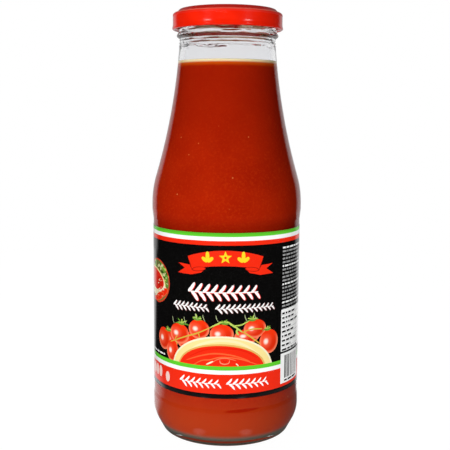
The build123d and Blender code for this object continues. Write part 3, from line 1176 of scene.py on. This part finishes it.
# %% Label material
def printed_paper():
    material, start, place = new_material("printed_paper")
    tint = start.node("ShaderNodeAttribute", settings={"attribute_name": "ink"}, out="Color")
    inside = {"attribute_name": "ink_place"}
    local = start.node("ShaderNodeAttribute", settings=inside, out="Vector").split()
    x, y, depth = local["X"], local["Y"], local["Z"]
    edge = length(x, y)
    glint = length(x + 0.34, y - 0.02)
    fibres, grain = place.noise(900.0, 3.0), place.noise(3500.0, 1.0)
    darker = {0: tint, 1: (0.62, 0.45, 0.45)}
    dark = start.node("ShaderNodeVectorMath", darker, {"operation": "MULTIPLY"})
    far_side = (x * 0.6 - y * 0.8 + 0.4).step(0.1, 0.9) * depth
    layers = (
        (edge.step(0.70, 0.98) * (0.7 - y).step(0.0, 0.7) * depth * 0.75, (0.98, 0.28, 0.14)),
        (glint.step(0.80, 0.0) * depth * 0.6, (0.98, 0.20, 0.10)),
        (glint.step(0.34, 0.08) * depth, (1.0, 0.80, 0.70)),
        (grain.step(0.55, 0.9) * 0.05, (0.5, 0.5, 0.5)),
    )
    sockets = {
        "Base Color": coats((far_side * 0.5).mix(tint, dark), layers),
        "Roughness": fibres * 0.08 + 0.08,
        "Specular IOR Level": 0.5,
        "Normal": fibres.bump(0.15, 0.06 * mm),
    }
    return finish(material, start, principled(start, sockets))


label = wrap_label(printed_paper())
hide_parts("paper_label")
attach(label, "root")

# %% [markdown]
# ## Floor, light and camera
# A white table and a white surround, with one broad soft key light in front and a little to the
# left, and a weak one overhead. Two small soft boxes put soft marks on the cap alone, and a side
# light reaches the label alone. The surround is white for the eye and for light that comes
# through the glass. A mirror image sees white behind the bottle and little in front of it, so
# that dark print stays dark.


# %% Floor
def glow(start, strength):
    return start.node("ShaderNodeEmission", {"Color": (1, 1, 1, 1), "Strength": strength})


def floor_material():
    """A white table that eye rays, mirror rays and dull rays meet with strengths of their own."""
    material, start, place = new_material("white_table")
    grain = place.noise(60.0, 2.0)
    ray = start.node("ShaderNodeLightPath")
    colour = grain.mix((0.80, 0.80, 0.80, 1), (0.83, 0.83, 0.83, 1))
    table = start.node("ShaderNodeBsdfDiffuse", {"Color": colour})
    axes = place.split()
    x, y = axes["X"], axes["Y"]
    away = length(x, y)
    near = away.step(0.17, 0.09)
    way = (y - x * near * 0.3) / away
    behind = way.step(0.70, 0.85) * (1 - near) + way.step(0.30, 0.65) * near
    seen = (ray["Is Camera Ray"] + ray["Is Transmission Ray"]).math("MINIMUM", 1.0)
    # Two bright patches close in front of the foot, which only mirror images show.
    spots = 0
    for across, along in ((-18.5, -38.5), (14.5, -40.5)):
        spots = length(x / mm - across, y / mm - along).step(6.5, 2.0) + spots
    mirrored = behind * 0.85 + near * 0.1 + spots * 0.6 + 0.01
    lit = (seen * 0.86).choose(table, glow(start, 1.12))
    lit = ray["Is Glossy Ray"].choose(lit, glow(start, mirrored))
    return finish(material, start, ray["Is Diffuse Ray"].choose(lit, glow(start, 0.42)))


shape = bmesh.new()
bmesh.ops.create_circle(shape, cap_ends=True, segments=96, radius=0.62)
floor = add_object("table", mesh_from("table", shape))
floor.data.materials.append(floor_material())


# %% World
def white_room():
    world = bpy.data.worlds.new("white room")
    bpy.context.scene.world = world
    world.use_nodes = True
    world.node_tree.nodes.clear()
    start = Wire(world.node_tree)
    ray = start.node("ShaderNodeLightPath")
    way = start.node("ShaderNodeTexCoord", out="Generated").split()
    seen, bent, glossy = ray["Is Camera Ray"], ray["Is Transmission Ray"], ray["Is Glossy Ray"]
    # White behind the bottle for mirror images, dimmer at the sides for what glass bends, and
    # for dull surfaces a little brighter from below and much brighter from behind.
    mirrored = way["Y"].step(0.66, 0.80) * 0.6 + 0.004
    through = way["Y"].step(0.1, 0.85) * 0.5 + 0.5
    ambient = way["Z"].step(0.7, -0.2) * 0.2 + 0.16 + way["Y"].step(0.3, 0.9) * 0.7
    dull = glossy * mirrored + (1 - glossy) * ambient
    strength = seen + (1 - seen) * (bent * through + (1 - bent) * dull)
    light = start.node("ShaderNodeBackground", {"Color": (1, 1, 1, 1), "Strength": strength})
    start.node("ShaderNodeOutputWorld", {"Surface": light})


white_room()
print("world:", bpy.context.scene.world.name)


# %% Lamps
def lamp(name, place, aim, size, watts, in_mirrors=False, only=None):
    """An area lamp; with only, it lights the pieces in that list and nothing else."""
    data = bpy.data.lights.new(name, "AREA")
    data.shape = "RECTANGLE"
    data.size, data.size_y = size
    data.energy = watts
    made = add_object(name, data)
    made.location = place
    made.rotation_euler = (Vector(aim) - Vector(place)).to_track_quat("-Z", "Y").to_euler()
    made.visible_glossy = in_mirrors
    made.visible_transmission = in_mirrors
    made.visible_camera = False
    print(f"{name}: {watts} W, {size[0]} by {size[1]} m")
    if only:
        receivers = bpy.data.collections.new(f"lit by {name}")
        for piece in only:
            receivers.objects.link(piece)
        made.light_linking.receiver_collection = receivers


middle = (0, 0, 0.11)
lamp("key", (-0.30, -0.93, 0.12), middle, (0.55, 0.26), 8.7)
lamp("top", (-0.1, -0.1, 1.1), middle, (0.8, 0.8), 0.6)

# Two soft boxes, high in front, only light the cap: in glass they would show as hard squares.
# The side light only reaches the paper, which is paler at the right than the passata round it.
lamp("side", (0.95, -0.03, 0.1), (0, 0, 0.07), (0.3, 0.3), 4.0, only=[label])
for name, x in (("soft_box_left", -0.62), ("soft_box_right", 0.62)):
    lamp(name, (x, -0.68, 0.49), (0, 0, 0.21), (0.2, 0.2), 0.9, True, [cap, lugs])

# %% [markdown]
# ## Camera
# A short telephoto from a little above the middle of the bottle, tipped slightly down, as such
# packs are usually taken, so that the label's edges curve and the cap is seen edge on.

# %% Set the camera
view = bpy.data.cameras.new("camera")
view.sensor_width = 36.0
view.lens = 66.4
camera = add_object("camera", view)
camera.location = (-0.0011, -0.4323, 0.16435)
camera.rotation_euler = (math.radians(90 - 7.41), math.radians(-0.32), 0)
bpy.context.scene.camera = camera
bpy.context.scene.view_settings.view_transform = "Standard"
print(f"a {view.lens} mm lens on a {view.sensor_width} mm sensor")
